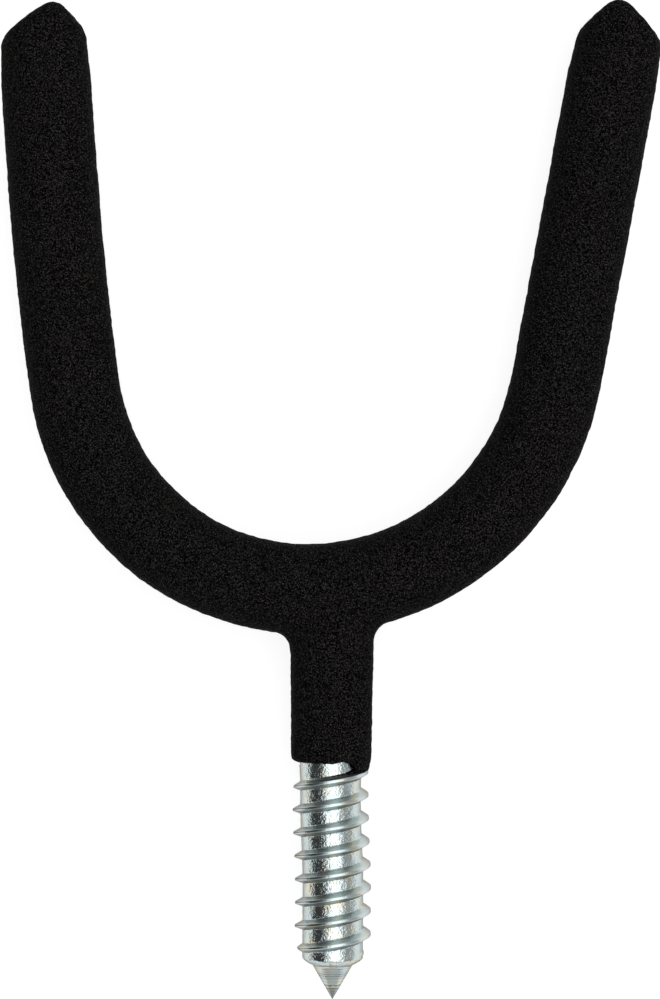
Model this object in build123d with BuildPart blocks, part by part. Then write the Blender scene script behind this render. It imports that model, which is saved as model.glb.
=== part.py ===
"""Screw-in storage hook: a U-shaped steel fork welded to a lag screw, dipped in soft black vinyl.

Frame, in millimetres: the screw's axis is +Y, from its point towards the fork's arms. X runs across
the fork, from the left arm to the right, and Z is square to the fork's plane. The origin lies on the
screw's axis at the wall's face, where the bare thread begins below the dipped skin.
"""
import os
from math import cos, radians, tan

from build123d import *

os.makedirs("parts", exist_ok=True)

# Fork: round bar bent into a slightly uneven U, measured over its skin where not said otherwise
rod_diameter = 7.94             # bare 5/16 in. bar
coat_thickness = 0.70           # skin over the bar
saddle_offset = 2.5             # the U's lowest point lies this far left of the screw's axis
saddle_height = 18.9            # bar's centre at the lowest point, above the wall's face
left_bend_radius = 24.6         # to the bar's centre
right_bend_radius = 26.0        # to the bar's centre
left_arm_lean = 4.0             # degrees outward, at the tip
left_arm_bow = 4.2              # degrees by which the left arm straightens above its bend
left_bow_share = 0.8            # share of the left arm's height over which it straightens
right_arm_lean = 10.2           # degrees outward
arm_height = 79.9               # rounded tips above the wall's face

# Sheared arm ends: two slopes that fall from a ridge square to the fork's plane
left_tip_falls = (30.0, 50.0)   # degrees, to the ridge's left and to its right
right_tip_falls = (42.0, 43.0)
left_ridge_offset = 1.66        # ridge lies this far right of the arm's centre
right_ridge_offset = -1.0
tip_taper_length = 9.0          # the skin thins towards each tip over this length
tip_taper = 2.5                 # degrees
tip_round = 1.3                 # edge radius at the sheared ends

# Stem: the skin's sleeve on the shank, down to its hem and the lip that ran on over the thread
stem_inset = 0.30               # the stem's skin is this much slimmer than the fork's, at its top
stem_taper = 0.18               # and this much slimmer again at the hem
stem_blend_radius = 1.8         # where the stem runs into the fork
hem_height = 0.93               # hem above the wall's face
hem_chamfer = 0.42              # broken lower edge of the hem
lip_inset = 0.02                # the lip's face lies this far inside the hem's
lip_height = 1.6                # the lip's upper end lies this far up inside the stem
lip_half_angle = 57.0           # degrees to the front and to the back of the lip's middle

# Lag screw, with its rolled thread as a plain cylinder over the crests
shank_radius = 3.42
thread_radius = 3.97            # 5/16 in. lag thread
thread_runin = 0.55             # height over which the shank widens to the crests
thread_end = -18.3              # last full crest
point_base_radius = 2.33        # the crests fall away to the point's base
point_base_height = -19.8
point_end = -23.7

# Allowances for cuts and hidden joins
overrun = 1.0                   # cutting and selecting shapes run this far past what they take

rod_radius = rod_diameter / 2
coat_radius = rod_radius + coat_thickness
stem_top_radius = coat_radius - stem_inset
stem_hem_radius = stem_top_radius - stem_taper
lip_radius = stem_hem_radius - lip_inset
saddle = (-saddle_offset, saddle_height)
weld_height = saddle_height - rod_radius


def add_tip_run(centreline, lean, heading):
    """Continues a centreline straight to where its arm's tapered tip begins."""
    bend_end = centreline.line @ 1
    run_height = arm_height - tip_taper_length * cos(radians(lean)) - bend_end.Y
    PolarLine(bend_end, run_height / cos(radians(lean)), heading)


# Centrelines of the fork's halves, each from the saddle towards its tip
with BuildLine() as left_centreline:
    left_turn = 90 - left_arm_lean - left_arm_bow
    bend = JernArc(start=saddle, tangent=(-1, 0), radius=left_bend_radius, arc_size=-left_turn)
    tip_start_height = arm_height - tip_taper_length * cos(radians(left_arm_lean))
    bow_radius = left_bow_share * (tip_start_height - (bend @ 1).Y) / radians(left_arm_bow)
    JernArc(start=bend @ 1, tangent=bend % 1, radius=bow_radius, arc_size=-left_arm_bow)
    add_tip_run(left_centreline, left_arm_lean, 90 + left_arm_lean)

with BuildLine() as right_centreline:
    right_turn = 90 - right_arm_lean
    JernArc(start=saddle, tangent=(1, 0), radius=right_bend_radius, arc_size=right_turn)
    add_tip_run(right_centreline, right_arm_lean, 90 - right_arm_lean)


def add_half(centreline, across):
    """Adds one half of the skinned bar: its bend and arm, then the tapered stretch past the tip."""
    with BuildSketch(Plane(origin=saddle, x_dir=(0, 1, 0), z_dir=across)) as section:
        Circle(coat_radius)
    sweep(section.sketch, path=centreline.line)
    with BuildSketch(Plane(centreline.line @ 1, z_dir=centreline.line % 1)) as tip_section:
        Circle(coat_radius)
    extrude(tip_section.sketch, amount=tip_taper_length + overrun, taper=tip_taper)


def shear_tip(centreline, lean, falls, ridge_offset):
    """Cuts an arm's end to its two slopes, high enough for the rounded ridge to reach arm_height."""
    half_sum = radians(falls[0] + falls[1]) / 2
    half_difference = radians(falls[1] - falls[0]) / 2
    lost_to_rounding = tip_round * (cos(half_difference) / cos(half_sum) - 1)
    run_end = centreline.line @ 1
    ridge_x = run_end.X + (arm_height - run_end.Y) * tan(radians(lean)) + ridge_offset
    ridge_y = arm_height + lost_to_rounding
    reach = 3 * coat_radius
    with BuildSketch(Plane.XY) as waste:
        with BuildLine():
            Polyline(
                (ridge_x - reach, ridge_y - reach * tan(radians(falls[0]))),
                (ridge_x, ridge_y),
                (ridge_x + reach, ridge_y - reach * tan(radians(falls[1]))),
                (ridge_x + reach, ridge_y + reach),
                (ridge_x - reach, ridge_y + reach),
                close=True,
            )
        make_face()
    extrude(waste.sketch, amount=reach, both=True, mode=Mode.SUBTRACT)


# Lag screw, its flat top butted against the fork's bar and hidden in the stem
with BuildPart() as lag_screw:
    with BuildSketch(Plane.XY):
        with BuildLine():
            Polyline(
                (0, weld_height),
                (shank_radius, weld_height),
                (shank_radius, thread_runin),
                (thread_radius, 0),
                (thread_radius, thread_end),
                (point_base_radius, point_base_height),
                (0, point_end),
                close=True,
            )
        make_face()
    revolve(axis=Axis.Y)

# Dipped fork, with the bar that its skin seals in
with BuildPart() as dipped_fork:
    add_half(left_centreline, across=(-1, 0, 0))
    add_half(right_centreline, across=(1, 0, 0))
    shear_tip(left_centreline, -left_arm_lean, left_tip_falls, left_ridge_offset)
    shear_tip(right_centreline, right_arm_lean, right_tip_falls, right_ridge_offset)
    tips_from = arm_height - 3 * coat_radius
    tip_edges = dipped_fork.edges().filter_by_position(Axis.Y, tips_from, arm_height + overrun)
    fillet(tip_edges.filter_by(GeomType.LINE) + tip_edges.filter_by(GeomType.ELLIPSE), radius=tip_round)

    # Stem, down to its hem
    with BuildSketch(Plane.XY):
        with BuildLine():
            Polyline(
                (0, saddle_height),
                (stem_top_radius, saddle_height),
                (stem_top_radius, saddle_height - coat_radius),
                (stem_hem_radius, hem_height),
                (0, hem_height),
                close=True,
            )
        hem_corner = make_face().vertices().group_by(Axis.Y)[0].sort_by(Axis.X)[-1]
        chamfer(hem_corner, length=hem_chamfer)
    revolve(axis=Axis.Y)
    corner_reach = stem_top_radius + overrun
    corner_edges = dipped_fork.edges().filter_by_position(Axis.X, -corner_reach, corner_reach)
    corner_edges = corner_edges.filter_by_position(Axis.Y, weld_height - coat_radius, saddle_height)
    fillet(corner_edges.filter_by(GeomType.BSPLINE), radius=stem_blend_radius)

    # Lip on the right of the thread's first turn
    with BuildSketch(Plane.XY.rotated((0, -lip_half_angle, 0))):
        with Locations((lip_radius / 2, lip_height / 2)):
            Rectangle(lip_radius, lip_height)
    revolve(axis=Axis.Y, revolution_arc=2 * lip_half_angle)
    add(lag_screw.part, mode=Mode.SUBTRACT)

dipped_fork.part.label = "dipped_fork"
export_step(dipped_fork.part, "parts/dipped_fork.step")
lag_screw.part.label = "lag_screw"
export_step(lag_screw.part, "parts/lag_screw.step")
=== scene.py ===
"""Dressed model of a screw-in storage hook: black dipped vinyl over a steel fork, and a zinc lag screw.

Lengths in the settings are millimetres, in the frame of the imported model: +Y along the screw from its
point towards the fork's arms, +Z square to the fork's plane, origin at the wall's face. Angles round
the screw are degrees from the front, which is +Z, towards the right, which is +X.
"""
from math import atan2, cos, degrees, exp, pi, radians, sin

import bmesh
import bpy
from bpy.props import FloatProperty, IntProperty, PointerProperty, StringProperty
from mathutils import Euler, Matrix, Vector, noise


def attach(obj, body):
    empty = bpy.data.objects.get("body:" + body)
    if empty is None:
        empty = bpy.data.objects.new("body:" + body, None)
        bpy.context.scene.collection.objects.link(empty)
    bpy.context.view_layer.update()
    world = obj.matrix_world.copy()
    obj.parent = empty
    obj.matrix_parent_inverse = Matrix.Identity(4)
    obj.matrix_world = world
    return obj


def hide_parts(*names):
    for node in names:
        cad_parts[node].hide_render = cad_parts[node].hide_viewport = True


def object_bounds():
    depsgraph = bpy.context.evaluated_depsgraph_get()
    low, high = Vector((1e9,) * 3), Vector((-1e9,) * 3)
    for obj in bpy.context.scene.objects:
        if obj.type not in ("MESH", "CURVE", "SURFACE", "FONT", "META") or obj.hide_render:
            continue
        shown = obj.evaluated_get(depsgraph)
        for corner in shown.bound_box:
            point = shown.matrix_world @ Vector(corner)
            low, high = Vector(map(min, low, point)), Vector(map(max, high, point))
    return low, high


bl_info = {
    "name": "Dipped storage hook",
    "version": (1, 0, 0),
    "blender": (4, 5, 0),
    "location": "3D View > Sidebar > Hook",
    "description": "Builds the vinyl skin, the zinc lag screw and the studio of a screw-in storage hook",
    "category": "Object",
}

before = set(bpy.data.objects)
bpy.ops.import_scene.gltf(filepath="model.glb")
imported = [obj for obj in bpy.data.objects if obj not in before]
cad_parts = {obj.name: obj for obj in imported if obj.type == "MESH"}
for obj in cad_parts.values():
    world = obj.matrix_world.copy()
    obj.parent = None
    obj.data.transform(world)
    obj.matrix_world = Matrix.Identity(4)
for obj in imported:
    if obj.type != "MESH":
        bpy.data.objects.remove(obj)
CAD_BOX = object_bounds()

MM = 0.001
MERGE_DISTANCE = 1e-6   # metres


# Settings


class SkinSettings(bpy.types.PropertyGroup):
    """The dipped vinyl skin."""

    voxel: FloatProperty(
        name="Mesh fineness", description="Edge length of the skin's mesh, in mm", default=0.27, min=0.15
    )
    wave_height: FloatProperty(
        name="Wave height", description="How far the dip runs thick and thin, in mm", default=0.05, min=0
    )
    wave_length: FloatProperty(
        name="Wave length", description="Distance between thick places, in mm", default=4.5, min=0.5
    )
    grit_height: FloatProperty(
        name="Grit height", description="Height of the sandy grit, in mm", default=0.07, min=0
    )
    grit_size: FloatProperty(
        name="Grit size", description="Distance between grains, in mm", default=0.6, min=0.2
    )
    lip_start: FloatProperty(
        name="Lip start", description="Where the lip leaves the hem, in degrees", default=50.0
    )
    lip_end: FloatProperty(
        name="Lip end", description="Where the lip meets the hem again, in degrees", default=155.0
    )
    lip_draw: FloatProperty(
        name="Lip draw", description="Width of the lip's lower edge, as a share of its width", default=0.93
    )
    lip_turn: FloatProperty(
        name="Lip turn", description="How far the lip's front end slants back, in degrees", default=7.0
    )
    tongue_start: FloatProperty(
        name="Tongue start", description="Where the lip's thin tongue ends, in degrees", default=26.0
    )
    colour: StringProperty(name="Colour", description="Vinyl colour as an sRGB hex value", default="#010101")
    # painted light: the lighter grey painted on the grit's tops, where they catch the light
    grit_top_light_colour: StringProperty(
        name="Grit colour", description="Colour of the grit's tops as an sRGB hex value", default="#2C2A2A"
    )
    # painted highlight: the colour painted on a few grains as glints
    painted_glint_colour: StringProperty(
        name="Glint colour", description="Brightest grains' colour as an sRGB hex value", default="#4E4C4A"
    )
    hem_height: FloatProperty(
        name="Hem height", description="Hem above the wall's face, in mm", default=0.93
    )
    hem_rise: FloatProperty(
        name="Hem rise", description="How far the hem is drawn up beside the lip, in mm", default=0.16
    )
    edge_turn: FloatProperty(
        name="Edge turn", description="How far the lip's front edge is drawn back, in degrees", default=5.0
    )
    slant: FloatProperty(
        name="Slant", description="How much higher the right side stands, in mm per mm", default=0.0075
    )
    left_tip_slant: FloatProperty(
        name="Left tip slant", description="How much the left tip's end rises to the right", default=0.115
    )
    right_tip_slant: FloatProperty(
        name="Right tip slant", description="How much the right tip's end rises to the right", default=-0.052
    )
    flatness: FloatProperty(
        name="Flatness", description="Thickness in Z, as a share of the thickness in X and Y", default=0.988
    )


class ScrewSettings(bpy.types.PropertyGroup):
    """The bare end of the lag screw."""

    pitch: FloatProperty(
        name="Pitch", description="Rise of the thread in one turn, in mm", default=2.405, min=0.5
    )
    first_crest: FloatProperty(
        name="First crest", description="Height of the first crest on the front, in mm", default=-0.83
    )
    root_radius: FloatProperty(
        name="Root radius", description="Radius between the ridges, in mm", default=3.15, min=1
    )
    crest_radius: FloatProperty(
        name="Crest radius", description="Radius over the ridge, in mm", default=3.96, min=1
    )
    crest_tilt: FloatProperty(
        name="Crest tilt", description="Crest's rise from the axis to the right edge, in mm", default=0.22
    )
    dimple_depth: FloatProperty(
        name="Dimple depth", description="Depth of the marks between the ridges, in mm", default=0.02, min=0
    )
    dimple_size: FloatProperty(
        name="Dimple size", description="Distance between rolling marks, in mm", default=0.45, min=0.1
    )
    steps: IntProperty(name="Steps per turn", description="Faces round one turn", default=160, min=24)
    turns: IntProperty(
        name="Turns", description="Turns stacked from the point to the neck", default=13, min=1
    )
    turns_below: IntProperty(
        name="Turns below", description="Turns of the stack below the first crest", default=11, min=1
    )
    neck_radius: FloatProperty(
        name="Neck radius", description="Radius above the thread, in mm", default=3.42
    )
    bevel_top: FloatProperty(
        name="Bevel top", description="Where the core starts to narrow, in mm", default=-19.3
    )
    bevel_end: FloatProperty(name="Bevel end", description="Where the point starts, in mm", default=-20.1)
    point_radius: FloatProperty(
        name="Point radius", description="Radius of the point's base, in mm", default=2.08
    )
    tip: FloatProperty(name="Tip", description="Height of the point's tip, in mm", default=-23.7)
    top: FloatProperty(name="Top", description="Height of the hidden upper end, in mm", default=14.96)
    stretch_from: FloatProperty(
        name="Stretch from", description="Height from which the hidden neck is stretched, in mm", default=2.0
    )
    stretch: FloatProperty(
        name="Stretch", description="How much the hidden neck is stretched", default=12.0, min=1
    )
    offset: FloatProperty(
        name="Offset", description="How far the upper half stands off to the right, in mm", default=-0.05
    )
    lean: FloatProperty(
        name="Lean", description="How far the lower half stands off to the right, in mm", default=0.25
    )
    ring_depth: FloatProperty(
        name="Ring depth", description="Depth of the point's turning rings, in mm", default=0.016, min=0
    )
    ring_pitch: FloatProperty(
        name="Ring pitch", description="Distance between the point's rings, in mm", default=0.31, min=0.1
    )
    colour: StringProperty(name="Colour", description="Zinc colour as an sRGB hex value", default="#CDDADB")
    warm_colour: StringProperty(
        name="Warm colour", description="Straw tint in the passivate as an sRGB hex value", default="#DEDCCB"
    )
    # painted shade: the colour painted into the crest's seam and the point's ring grooves; it also darkens
    # the point's last millimetre
    seam_shade_and_dark_tip_colour: StringProperty(
        name="Seam colour", description="Dirt in the crest's seam as an sRGB hex value", default="#3A3733"
    )
    edge_colour: StringProperty(
        name="Edge colour", description="Tint of slanting edges as an sRGB hex value", default="#A79E99"
    )


class StageSettings(bpy.types.PropertyGroup):
    """Floor, light and camera."""

    floor_size: FloatProperty(
        name="Floor size", description="Side of the floor", default=12.0, min=1, unit="LENGTH"
    )
    softbox: FloatProperty(
        name="Softbox", description="Brightness of the softbox overhead", default=1.8, min=0
    )
    side_light: FloatProperty(
        name="Side light", description="Brightness of the room on the right", default=0.62, min=0
    )
    dark_card: FloatProperty(
        name="Dark card", description="Brightness of the dark card on the left", default=0.05, min=0
    )
    end_light: FloatProperty(
        name="End light", description="Brightness beyond the point and the arms", default=0.5, min=0
    )
    camera_distance: FloatProperty(
        name="Camera distance",
        description="From the hook's middle plane to the camera",
        default=0.32,
        min=0.1,
        unit="LENGTH",
    )
    view_height: FloatProperty(
        name="View height", description="Height that fills the picture, in mm", default=103.69, min=10
    )
    centre_x: FloatProperty(
        name="Centre X", description="Middle of the picture across the hook, in mm", default=-0.28
    )
    centre_y: FloatProperty(
        name="Centre Y", description="Middle of the picture along the screw, in mm", default=28.18
    )
    roll: FloatProperty(
        name="Roll", description="Camera's turn about its own axis, in degrees", default=0.32
    )


# Helpers


def linear(hex_colour):
    """sRGB hex value as linear RGBA."""
    parts = [int(hex_colour[i:i + 2], 16) / 255 for i in (1, 3, 5)]
    return [p / 12.92 if p <= 0.04045 else ((p + 0.055) / 1.055) ** 2.4 for p in parts] + [1.0]


def add_node(tree, kind, inputs=None, **settings):
    """Adds a node, sets its properties, and sets or links its inputs by name or number."""
    node = tree.nodes.new(kind)
    for name, value in settings.items():
        setattr(node, name, value)
    for name, value in (inputs or {}).items():
        if isinstance(value, bpy.types.NodeSocket):
            tree.links.new(value, node.inputs[name])
        else:
            node.inputs[name].default_value = value
    return node


def new_material(name):
    """An empty node material, and its tree."""
    material = bpy.data.materials.new(name)
    material.use_nodes = True
    material.node_tree.nodes.clear()
    return material, material.node_tree


def finish_piece(name, mesh, material, node):
    """Makes a piece of a finished mesh, smooth shaded, in the place of a CAD node."""
    piece = bpy.data.objects.new(name, mesh)
    bpy.context.scene.collection.objects.link(piece)
    mesh.materials.clear()
    mesh.materials.append(material)
    mesh.shade_smooth()
    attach(piece, "root")
    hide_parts(node)
    return piece


def evaluated_mesh(source):
    """The mesh of an object with its modifiers applied."""
    graph = bpy.context.evaluated_depsgraph_get()
    return bpy.data.meshes.new_from_object(source.evaluated_get(graph), depsgraph=graph)


def ease(value, low, high):
    """0 below low, 1 above high, and a smooth step between."""
    share = min(max((value - low) / (high - low), 0.0), 1.0)
    return share * share * (3 - 2 * share)


def polar(place):
    """Angle round the screw's axis, in degrees, and distance from it, in metres."""
    return degrees(atan2(place.x, place.z)), Vector((place.x, place.z)).length


def move_round(vert, turned, radius):
    """Puts a vertex at an angle in degrees and a distance in metres from the axis, at its own height."""
    around = radians(turned)
    vert.co.x, vert.co.z = radius * sin(around), radius * cos(around)


# Materials


def dipped_vinyl(skin):
    """Plastisol: soft PVC, dipped hot and left with a fine sandy grit.

    The eye sees a deep, dull black with tiny grains that catch the light; that light is painted into the
    colour.
    """
    material, tree = new_material("dipped_black_vinyl")
    # grains are drawn deeper than wide, so that they still show at the rims
    place = add_node(
        tree,
        "ShaderNodeMapping",
        {"Vector": add_node(tree, "ShaderNodeTexCoord").outputs["Object"], "Scale": (1.0, 1.0, 0.45)},
    ).outputs["Vector"]
    # the real grit is near 0.1 mm: grains of 0.2 mm are the smallest that show in the render
    grit = add_node(
        tree, "ShaderNodeTexNoise", {"Vector": place, "Scale": 6000.0, "Detail": 2.0, "Roughness": 0.6}
    )
    # painted light: the grit's tops are painted lighter where the grit stands highest, standing in for the
    # light they catch
    tops = add_node(
        tree,
        "ShaderNodeMapRange",
        {"Value": grit.outputs["Fac"], "From Min": 0.46, "From Max": 0.66},
    )
    shade = add_node(
        tree,
        "ShaderNodeMix",
        {"Factor": tops.outputs["Result"], "A": linear(skin.colour), "B": linear(skin.grit_top_light_colour)},
        data_type="RGBA",
    )
    # painted highlights: a few grains are painted in the glint colour, standing in for the light they catch
    glints = add_node(
        tree, "ShaderNodeTexVoronoi", {"Vector": place, "Scale": 4200.0, "Randomness": 1.0}, feature="F1"
    )
    glint = add_node(
        tree,
        "ShaderNodeMapRange",
        {"Value": glints.outputs["Distance"], "From Min": 0.26, "From Max": 0.1},
    )
    lit_shade = add_node(
        tree,
        "ShaderNodeMix",
        {"Factor": glint.outputs["Result"], "A": shade.outputs["Result"], "B": linear(skin.painted_glint_colour)},
        data_type="RGBA",
    )
    bump = add_node(
        tree, "ShaderNodeBump", {"Strength": 1.0, "Distance": 0.0001, "Height": grit.outputs["Fac"]}
    )
    shader = add_node(
        tree,
        "ShaderNodeBsdfPrincipled",
        {"Base Color": lit_shade.outputs["Result"], "Roughness": 0.75, "Normal": bump.outputs["Normal"]},
    )
    # soft PVC, with a dip too dull to shine
    shader.inputs["IOR"].default_value = 1.53
    shader.inputs["Specular IOR Level"].default_value = 0.02
    add_node(tree, "ShaderNodeOutputMaterial", {"Surface": shader.outputs["BSDF"]})
    return material


def bright_zinc(screw):
    """Bright zinc plate on rolled steel, with a clear blue passivate.

    The eye sees a cold, mirror-like metal. Its ridges are smooth from the rolling dies, and the core
    between them is broken up by small marks. Shade in the crest's seam and the point's grooves is painted.
    """
    material, tree = new_material("bright_zinc_plate")
    place = add_node(tree, "ShaderNodeTexCoord").outputs["Object"]
    # passivate drifts between a bluish and a straw tint over about 1.5 mm
    drift = add_node(
        tree, "ShaderNodeTexNoise", {"Vector": place, "Scale": 700.0, "Detail": 2.0, "Roughness": 0.5}
    )
    drift_share = add_node(
        tree, "ShaderNodeMapRange", {"Value": drift.outputs["Fac"], "From Min": 0.48, "From Max": 0.72}
    )
    tint = add_node(
        tree,
        "ShaderNodeMix",
        {"Factor": drift_share.outputs["Result"], "A": linear(screw.colour), "B": linear(screw.warm_colour)},
        data_type="RGBA",
    )
    # painted shade: the seam attribute paints shade into the crest's seam and the point's ring grooves, and
    # darkens the point's last millimetre
    seam = add_node(tree, "ShaderNodeAttribute", attribute_name="seam").outputs["Fac"]
    tint_with_shade_and_dark_tip = add_node(
        tree,
        "ShaderNodeMix",
        {"Factor": seam, "A": tint.outputs["Result"], "B": linear(screw.seam_shade_and_dark_tip_colour)},
        data_type="RGBA",
    )
    # marks of about 0.2 mm, strongest where the dies left the core rough
    rolled = add_node(tree, "ShaderNodeAttribute", attribute_name="rolled").outputs["Fac"]
    marks = add_node(
        tree, "ShaderNodeTexNoise", {"Vector": place, "Scale": 4300.0, "Detail": 2.0, "Roughness": 0.6}
    )
    mark_strength = add_node(
        tree, "ShaderNodeMapRange", {"Value": rolled, "To Min": 0.35, "To Max": 1.0}
    )
    bump = add_node(
        tree,
        "ShaderNodeBump",
        {"Strength": mark_strength.outputs["Result"], "Distance": 0.00007, "Height": marks.outputs["Fac"]},
    )
    gloss = add_node(tree, "ShaderNodeMapRange", {"Value": rolled, "To Min": 0.28, "To Max": 0.09})
    shader = add_node(
        tree,
        "ShaderNodeBsdfPrincipled",
        {
            "Base Color": tint_with_shade_and_dark_tip.outputs["Result"],
            "Metallic": 1.0,
            "Roughness": gloss.outputs["Result"],
            "Normal": bump.outputs["Normal"],
        },
    )
    # dull passivate film greys the edges that are seen at a slant
    shader.inputs["Specular Tint"].default_value = linear(screw.edge_colour)
    add_node(tree, "ShaderNodeOutputMaterial", {"Surface": shader.outputs["BSDF"]})
    return material


def white_paper():
    """Seamless white background paper.

    The eye sees plain white that still takes the object's faint, soft shadow.
    """
    material, tree = new_material("white_background_paper")
    paper = add_node(tree, "ShaderNodeBsdfDiffuse", {"Color": linear("#8C8C8C")})
    rays = add_node(tree, "ShaderNodeLightPath")
    seen = add_node(
        tree,
        "ShaderNodeMath",
        {0: rays.outputs["Is Camera Ray"], 1: rays.outputs["Is Glossy Ray"]},
        operation="MAXIMUM",
    )
    seen_through = add_node(
        tree,
        "ShaderNodeMath",
        {0: seen.outputs["Value"], 1: rays.outputs["Is Transmission Ray"]},
        operation="MAXIMUM",
    )
    # enough glow to bring the lit paper up to white
    lift = add_node(
        tree, "ShaderNodeMath", {0: seen_through.outputs["Value"], 1: 0.87}, operation="MULTIPLY"
    )
    glow = add_node(tree, "ShaderNodeEmission", {"Strength": lift.outputs["Value"]})
    both = add_node(tree, "ShaderNodeAddShader", {0: paper.outputs["BSDF"], 1: glow.outputs["Emission"]})
    add_node(tree, "ShaderNodeOutputMaterial", {"Surface": both.outputs["Shader"]})
    return material


# Thread's ridge, which the screw and the vinyl on it share


def crest_height(screw, turned):
    """Height of the ridge's crest at an angle, in mm."""
    return screw.first_crest + screw.pitch * turned / 360 + screw.crest_tilt * sin(radians(turned))


def feet(turned):
    """How far the ridge's feet lie above and below its crest at an angle, in mm."""
    across, near = sin(radians(turned)), cos(radians(turned))
    above = 0.66 + 0.04 * across - 0.06 * near
    below = 0.48 + 0.08 * across + 0.07 * near
    return above, below


def flank_rise(screw, turned, radius):
    """How far the ridge's upper flank lies above its crest at an angle and a radius in mm, in mm."""
    above, _ = feet(turned)
    return above * (screw.crest_radius - radius) / (screw.crest_radius - screw.root_radius)


# Skin


def merged_copy(node):
    """A copy of a CAD node as one joined mesh."""
    work = bmesh.new()
    work.from_mesh(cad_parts[node].data)
    bmesh.ops.remove_doubles(work, verts=work.verts, dist=MERGE_DISTANCE)
    return work


def spin_outline(work, outline, start, sweep, steps):
    """Spins a closed outline of (radius, height) corners, in mm, round the screw. Gives its vertices."""
    turn = radians(start)
    before = set(work.verts)
    corners = [
        work.verts.new(Vector((radius * sin(turn), height, radius * cos(turn))) * MM)
        for radius, height in outline
    ]
    face = work.faces.new(corners)
    bmesh.ops.spin(
        work,
        geom=[*corners, *face.edges, face],
        cent=(0, 0, 0),
        axis=(0, 1, 0),
        angle=radians(sweep),
        steps=steps,
        use_merge=False,
        use_duplicate=False,
    )
    # the spin may take the outline's own face along, which leaves its start open
    if not face.is_valid:
        work.faces.new(reversed(corners))
    return [vert for vert in work.verts if vert not in before]


def add_lip(work, skin, screw):
    """Adds the run of vinyl on the right that bridges the hem and the first turn of the thread.

    Its outline is drawn from 0 to a roof inside the stem, and its lower end is then seated.
    """
    outline = [(3.2, 0), (3.6, 0), (3.8, 0), (3.95, 0.4), (4.08, 1.2), (4.1, 2.4), (3.2, 2.4)]
    seated_below = 2
    seat_gap = 0.06
    steps = 48
    start = skin.lip_start - 7
    sweep = skin.lip_end + 10 - start
    for vert in spin_outline(work, outline, start, sweep, steps):
        if vert.co.y / MM > seated_below:
            continue
        turned, radius = polar(vert.co)
        seat = crest_height(screw, turned) + max(flank_rise(screw, turned, radius / MM), 0.0) + seat_gap
        drop = ease(turned, skin.lip_start - 6, skin.lip_start + 5) * (
            1 - ease(turned, skin.lip_end - 20, skin.lip_end + 8)
        )
        lowest = skin.hem_height + (seat - skin.hem_height) * drop
        vert.co.y = (lowest + vert.co.y / MM * (seated_below - lowest) / seated_below) * MM


def add_tongue(work, skin, screw):
    """Adds the thin tongue of vinyl that ran left from the lip, down on the first ridge's upper flank."""
    thickness, inner, outer = 0.2, 3.2, 3.6
    seat_gap = 0.02
    steps = 16
    outline = [(inner, 0), (outer, 0), (outer, 1), (inner, 1)]
    sweep = skin.lip_start + 8 - skin.tongue_start
    for vert in spin_outline(work, outline, skin.tongue_start, sweep, steps):
        turned, radius = polar(vert.co)
        width = ease(turned, skin.tongue_start - 6, skin.lip_start)
        lift = (vert.co.y / MM) * thickness * width
        flank = flank_rise(screw, turned, radius / MM)
        vert.co.y = (crest_height(screw, turned) + flank + seat_gap + lift) * MM


def rough_skin(skin, screw):
    """The fork and its lip as one even mesh."""
    work = merged_copy("dipped_fork")
    # the solid's lip draws in towards its lower edge, and its front end, at 33 degrees, slants
    lip_below = 0.3
    for vert in work.verts:
        if vert.co.y < lip_below * MM:
            turned, radius = polar(vert.co)
            turned += skin.lip_turn * (1 - ease(turned, 33, 90))
            move_round(vert, turned, radius * skin.lip_draw)
    add_lip(work, skin, screw)
    bmesh.ops.recalc_face_normals(work, faces=work.faces)
    mesh = bpy.data.meshes.new("skin_blank")
    work.to_mesh(mesh)
    work.free()
    blank = bpy.data.objects.new("skin_blank", mesh)
    bpy.context.scene.collection.objects.link(blank)
    remesh = blank.modifiers.new("even mesh", "REMESH")
    remesh.mode = "VOXEL"
    remesh.voxel_size = skin.voxel * MM
    even = evaluated_mesh(blank)
    bpy.data.objects.remove(blank)
    return even


def soften(work):
    """Rounds the corners. The dip rounds the sheared ends of the bar more than the rest."""
    for lowest, passes in ((-5, 3), (73, 14), (76, 14)):
        near = [vert for vert in work.verts if vert.co.y > lowest * MM]
        for _ in range(passes):
            bmesh.ops.smooth_vert(
                work, verts=near, factor=0.5, use_axis_x=True, use_axis_y=True, use_axis_z=True
            )
    work.normal_update()


def slant_rise(skin, across, height):
    """How far the slants lift a place across the fork and at a height, all in mm."""
    left_arm, right_arm = -27.9, 27.4
    rise = across * skin.slant * ease(height, 3, 14)
    near_tip = ease(height, 70, 77)
    if across < 0:
        return rise + (across - left_arm) * skin.left_tip_slant * near_tip
    return rise + (across - right_arm) * skin.right_tip_slant * near_tip


def draw_hem(vert, skin):
    """Draws the hem up just before the lip, and the lip's front edge back to the right."""
    height = vert.co.y / MM
    turned, radius = polar(vert.co)
    beside = ease(turned, 2, 16) * (1 - ease(turned, 26, 36))
    edge = ease(turned, 14, 24) * (1 - ease(turned, 40, 80)) * (1 - ease(height, 0.7, 1.2))
    move_round(vert, turned + skin.edge_turn * edge, radius)
    vert.co.y += skin.hem_rise * beside * (1 - ease(height, 1.2, 3)) * MM


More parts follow.
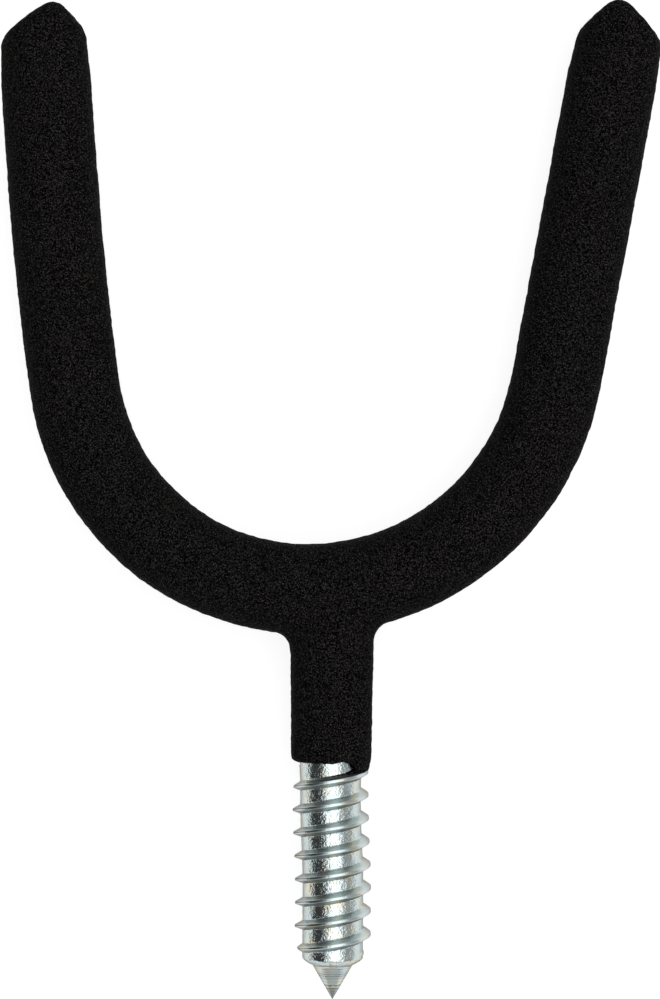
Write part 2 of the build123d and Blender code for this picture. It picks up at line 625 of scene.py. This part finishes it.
def shape_skin(mesh, skin, screw):
    """Softens the corners, gives the dip its thick and thin places and its grit, and adds the tongue."""
    hem_zone = 3
    work = bmesh.new()
    work.from_mesh(mesh)
    soften(work)
    wave = 1 / (skin.wave_length * MM)
    grit = 1 / (skin.grit_size * MM)
    moves = []
    for vert in work.verts:
        lift = skin.wave_height * noise.noise(vert.co * wave)
        lift += skin.grit_height * noise.noise(vert.co * grit)
        moves.append(vert.normal * lift * MM)
    for vert, move in zip(work.verts, moves):
        vert.co += move
        vert.co.z *= skin.flatness
        across, height = vert.co.x / MM, vert.co.y / MM
        vert.co.y += slant_rise(skin, across, height) * MM
        if height < hem_zone:
            draw_hem(vert, skin)
    add_tongue(work, skin, screw)
    bmesh.ops.recalc_face_normals(work, faces=work.faces)
    work.to_mesh(mesh)
    work.free()


class HOOK_OT_skin(bpy.types.Operator):
    """Build the dipped vinyl skin"""

    bl_idname = "hook.skin"
    bl_label = "Vinyl skin"
    bl_options = {"REGISTER", "UNDO"}

    def execute(self, context):
        skin, screw = context.scene.hook_skin, context.scene.hook_screw
        mesh = rough_skin(skin, screw)
        if not mesh.polygons:
            raise RuntimeError("the skin's mesh came out empty")
        shape_skin(mesh, skin, screw)
        finish_piece("vinyl_skin", mesh, dipped_vinyl(skin), "dipped_fork")
        return {"FINISHED"}


# Screw


def ridge_share(place):
    """Share of the ridge's height at a place across it, from -1 at its lower foot to 1 at its upper one.

    The crest is blunt, with the shallow seam that rolling leaves where the metal of both flanks meets.
    """
    flank = min((1 - abs(place)) / 0.79, 1.0)
    seam = 0.07 * exp(-(((place - 0.1) / 0.06) ** 2))
    return 0.8 * flank + 0.2 * ease(flank, 0, 1) - seam


def painted_seam_shade_share(place, turned):
    """Share of painted shade in the crest's seam at a place across the ridge and at an angle: most on the
    left.
    """
    off_left = abs((turned % 360) - 290) / 75
    return exp(-(((place - 0.12) / 0.08) ** 2)) * ease(1 - off_left, 0, 0.4)


def grown_share(height):
    """How far the ridge has grown at a height: it runs out at the bevel and the hem, and starts low."""
    first_turn = 0.15 * ease(height, -2.2, -1.5)
    return ease(height, -19.3, -17.8) * (1 - first_turn) * (1 - ease(height, 0.1, 0.65))


def ring_share(screw, height):
    """Uneven turning rings on the point, from -1 in a groove to 1 on a ring. They end short of the tip."""
    wave = sin(2 * pi * height / screw.ring_pitch + 2 * sin(3 * height))
    return wave * (0.6 + 0.4 * sin(5 * height)) * ease(height, screw.tip + 0.2, screw.tip + 1.2)


def core_radius(screw, height):
    """Radius of the screw's core at a height, in mm: neck, rolled core, bevel and point."""
    tip_radius = 0.02
    if height > screw.bevel_top:
        # the neck widens a little beside the first ridge, and the rest of the way inside the stem
        neck = 0.3 * ease(height, -1.2, 0) + 0.7 * ease(height, 1.6, 2.4)
        return screw.root_radius + (screw.neck_radius - screw.root_radius) * neck
    if height > screw.bevel_end:
        share = (screw.bevel_top - height) / (screw.bevel_top - screw.bevel_end)
        return screw.root_radius + (screw.point_radius - screw.root_radius) * share**1.5
    rings = screw.ring_depth * ring_share(screw, height)
    cone = screw.point_radius * (height - screw.tip) / (screw.bevel_end - screw.tip)
    return max(cone + rings, tip_radius)


def spun_thread(screw):
    """One pitch of outline spun up one turn, and copies of it stacked over the whole screw.

    Each vertex keeps its place along the outline: the ridge from -1 to 1, the root from 1 to 2.
    """
    work = bmesh.new()
    along = work.verts.layers.float.new("along")
    ridge_parts, root_parts = 26, 15
    places = [-1 + 2 * part / ridge_parts for part in range(ridge_parts + 1)]
    places += [1 + (part + 1) / root_parts for part in range(root_parts)]
    chain = []
    for place in places:
        vert = work.verts.new((0, (place + 1) / 3 * screw.pitch, screw.root_radius))
        vert[along] = place
        chain.append(vert)
    edges = [work.edges.new(pair) for pair in zip(chain, chain[1:])]
    bmesh.ops.spin(
        work,
        geom=chain + edges,
        cent=(0, 0, 0),
        axis=(0, 1, 0),
        dvec=(0, screw.pitch / screw.steps, 0),
        angle=radians(360),
        steps=screw.steps,
        use_merge=False,
        use_duplicate=False,
    )
    turn = work.verts[:] + work.edges[:] + work.faces[:]
    for level in range(1, screw.turns):
        copied = bmesh.ops.duplicate(work, geom=turn)["geom"]
        verts = [item for item in copied if isinstance(item, bmesh.types.BMVert)]
        bmesh.ops.translate(work, verts=verts, vec=(0, level * screw.pitch, 0))
    return work, along


def thread_height(screw, place, turned):
    """Height of a place along the thread's outline at an angle, in mm."""
    above, below = feet(turned)
    crest = crest_height(screw, turned)
    if place <= 0:
        return crest + place * below
    if place <= 1:
        return crest + place * above
    return crest + above + (place - 1) * (screw.pitch - above - below)


def groove_shade_and_dark_tip(screw, height):
    """How dark the point is painted at a height: painted shade in its rings' grooves, and a darker last
    millimetre.
    """
    # painted shade in the ring grooves, and the last millimetre made darker
    groove = max(0.0, -ring_share(screw, height))
    return 0.75 * groove + 0.45 * (1 - ease(height, screw.tip + 0.7, screw.tip + 1.7))


def shape_thread(work, along, screw):
    """Moves each stacked vertex to the ridge, the marked core, the neck or the point."""
    unevenness = 0.03
    torn_strength = 3
    closed_from = screw.top + 1
    rolled = work.verts.layers.float.new("rolled")
    seam = work.verts.layers.float.new("seam")
    for vert in work.verts:
        place = vert[along]
        turned = 360 * ((vert.co.y - (place + 1) / 3 * screw.pitch) / screw.pitch - screw.turns_below)
        height = thread_height(screw, place, turned)
        share = max(ridge_share(place), 0.0) if place < 1 else 0.0
        grown = grown_share(height)
        uneven = unevenness * noise.noise(Vector((turned / 60, 3.1, 0.7)))
        ridge = (screw.crest_radius - screw.root_radius + uneven) * share * grown
        radius = core_radius(screw, height) + ridge
        around = radians(turned)
        out = Vector((sin(around), 0, cos(around)))
        pointed = 1 - ease(height, screw.bevel_end - 0.1, screw.bevel_end + 0.1)
        marked = max(0.0, 1 - 3 * share * grown) * (1 - pointed)
        vert[rolled] = marked
        # painted shade in the crest's seam and the point's ring grooves, and a darker last millimetre of the
        # point
        vert[seam] = painted_seam_shade_share(place, turned) * grown + pointed * groove_shade_and_dark_tip(screw, height)
        # the cut that starts the point leaves a torn edge
        torn = ease(height, screw.bevel_end, screw.bevel_end + 0.2) * (1 - ease(height, -19.5, -19.3))
        spot = (out * radius + Vector((0, height, 0))) / screw.dimple_size
        dimple = noise.fractal(spot, 0.8, 2.1, 2) * screw.dimple_depth
        radius += dimple * marked * (1 + torn_strength * torn)
        shift = screw.offset + (screw.lean - screw.offset) * ease(-height, 3, 12)
        if height > screw.stretch_from:
            height = screw.stretch_from + (height - screw.stretch_from) * screw.stretch
            radius = screw.neck_radius if height < closed_from else 0.0
        if height < screw.tip:
            radius = 0.0
        height = min(max(height, screw.tip), screw.top)
        vert.co = (out * radius + Vector((shift, height, 0))) * MM


class HOOK_OT_screw(bpy.types.Operator):
    """Build the zinc plated lag screw"""

    bl_idname = "hook.screw"
    bl_label = "Lag screw"
    bl_options = {"REGISTER", "UNDO"}

    def execute(self, context):
        screw = context.scene.hook_screw
        work, along = spun_thread(screw)
        shape_thread(work, along, screw)
        bmesh.ops.remove_doubles(work, verts=work.verts, dist=MERGE_DISTANCE)
        bmesh.ops.dissolve_degenerate(work, dist=MERGE_DISTANCE, edges=work.edges)
        bmesh.ops.recalc_face_normals(work, faces=work.faces)
        mesh = bpy.data.meshes.new("zinc_screw")
        work.to_mesh(mesh)
        work.free()
        finish_piece("zinc_screw", mesh, bright_zinc(screw), "lag_screw")
        return {"FINISHED"}


# Stage


def add_floor(stage):
    """A level sheet of paper under the lowest point of the skin."""
    work = bmesh.new()
    bmesh.ops.create_grid(work, x_segments=1, y_segments=1, size=stage.floor_size / 2)
    bmesh.ops.translate(work, verts=work.verts, vec=(0, 0, CAD_BOX[0][2]))
    mesh = bpy.data.meshes.new("floor")
    work.to_mesh(mesh)
    work.free()
    mesh.materials.append(white_paper())
    floor = bpy.data.objects.new("floor", mesh)
    bpy.context.scene.collection.objects.link(floor)


def light_room(stage):
    """A studio: a softbox overhead, a white room on the right, and a dark card on the left.

    Angles lean from straight up towards the right, seen along the screw.
    """
    world = bpy.data.worlds.new("studio")
    bpy.context.scene.world = world
    world.use_nodes = True
    tree = world.node_tree
    tree.nodes.clear()
    generated = add_node(tree, "ShaderNodeTexCoord").outputs["Generated"]
    way = add_node(tree, "ShaderNodeSeparateXYZ", {0: generated})
    lean = add_node(
        tree, "ShaderNodeMath", {0: way.outputs["X"], 1: way.outputs["Z"]}, operation="ARCTAN2"
    )
    place = add_node(
        tree, "ShaderNodeMapRange", {"Value": lean.outputs["Value"], "From Min": -pi, "From Max": pi}
    )
    ramp = add_node(tree, "ShaderNodeValToRGB", {"Fac": place.outputs["Result"]})
    bands = (
        (-106, stage.side_light),
        (-94, stage.dark_card),
        (-28, stage.dark_card),
        (-8, stage.softbox),
        (28, stage.softbox),
        (40, 0.55 * stage.side_light),
        (72, 0.6 * stage.side_light),
        (95, stage.side_light),
    )
    stops = ramp.color_ramp.elements
    while len(stops) < len(bands):
        stops.new(0.5)
    for stop, (angle, level) in zip(stops, bands):
        stop.position = (angle + 180) / 360
        stop.color = (level, level, level, 1)
    ends = add_node(tree, "ShaderNodeMath", {0: way.outputs["Y"]}, operation="ABSOLUTE")
    end_share = add_node(
        tree, "ShaderNodeMapRange", {"Value": ends.outputs["Value"], "From Min": 0.5, "From Max": 0.85}
    )
    end_grey = [stage.end_light] * 3 + [1]
    room = add_node(
        tree,
        "ShaderNodeMix",
        {"Factor": end_share.outputs["Result"], "A": ramp.outputs["Color"], "B": end_grey},
        data_type="RGBA",
    )
    rays = add_node(tree, "ShaderNodeLightPath")
    lit = add_node(tree, "ShaderNodeBackground", {"Color": room.outputs["Result"], "Strength": 1.0})
    white = add_node(tree, "ShaderNodeBackground", {"Color": (1, 1, 1, 1), "Strength": 1.0})
    shown = add_node(
        tree,
        "ShaderNodeMixShader",
        {0: rays.outputs["Is Camera Ray"], 1: lit.outputs["Background"], 2: white.outputs["Background"]},
    )
    add_node(tree, "ShaderNodeOutputWorld", {"Surface": shown.outputs["Shader"]})


def add_camera(stage):
    """Looks straight down at the hook, rolled a little as in the photograph."""
    data = bpy.data.cameras.new("camera")
    data.sensor_width = 36.0
    data.lens = data.sensor_width * stage.camera_distance / (stage.view_height * MM)
    camera = bpy.data.objects.new("camera", data)
    bpy.context.scene.collection.objects.link(camera)
    camera.location = (stage.centre_x * MM, stage.centre_y * MM, stage.camera_distance)
    camera.rotation_euler = Euler((0, 0, radians(stage.roll)))
    bpy.context.scene.camera = camera


class HOOK_OT_stage(bpy.types.Operator):
    """Lay out the floor, the light and the camera"""

    bl_idname = "hook.stage"
    bl_label = "Stage"
    bl_options = {"REGISTER", "UNDO"}

    def execute(self, context):
        stage = context.scene.hook_stage
        add_floor(stage)
        light_room(stage)
        add_camera(stage)
        context.scene.view_settings.view_transform = "Standard"
        return {"FINISHED"}


class HOOK_PT_panel(bpy.types.Panel):
    """The hook's pieces and their settings"""

    bl_label = "Storage hook"
    bl_idname = "HOOK_PT_panel"
    bl_space_type = "VIEW_3D"
    bl_region_type = "UI"
    bl_category = "Hook"

    def draw(self, context):
        for group, operator in (
            (context.scene.hook_skin, "hook.skin"),
            (context.scene.hook_screw, "hook.screw"),
            (context.scene.hook_stage, "hook.stage"),
        ):
            box = self.layout.box()
            for name in group.__annotations__:
                box.prop(group, name)
            box.operator(operator)


CLASSES = (
    SkinSettings,
    ScrewSettings,
    StageSettings,
    HOOK_OT_skin,
    HOOK_OT_screw,
    HOOK_OT_stage,
    HOOK_PT_panel,
)


def register():
    for cls in CLASSES:
        bpy.utils.register_class(cls)
    bpy.types.Scene.hook_skin = PointerProperty(type=SkinSettings)
    bpy.types.Scene.hook_screw = PointerProperty(type=ScrewSettings)
    bpy.types.Scene.hook_stage = PointerProperty(type=StageSettings)


def unregister():
    del bpy.types.Scene.hook_stage
    del bpy.types.Scene.hook_screw
    del bpy.types.Scene.hook_skin
    for cls in reversed(CLASSES):
        bpy.utils.unregister_class(cls)


def main():
    register()
    bpy.ops.hook.skin()
    bpy.ops.hook.screw()
    bpy.ops.hook.stage()


if __name__ == "__main__":
    main()
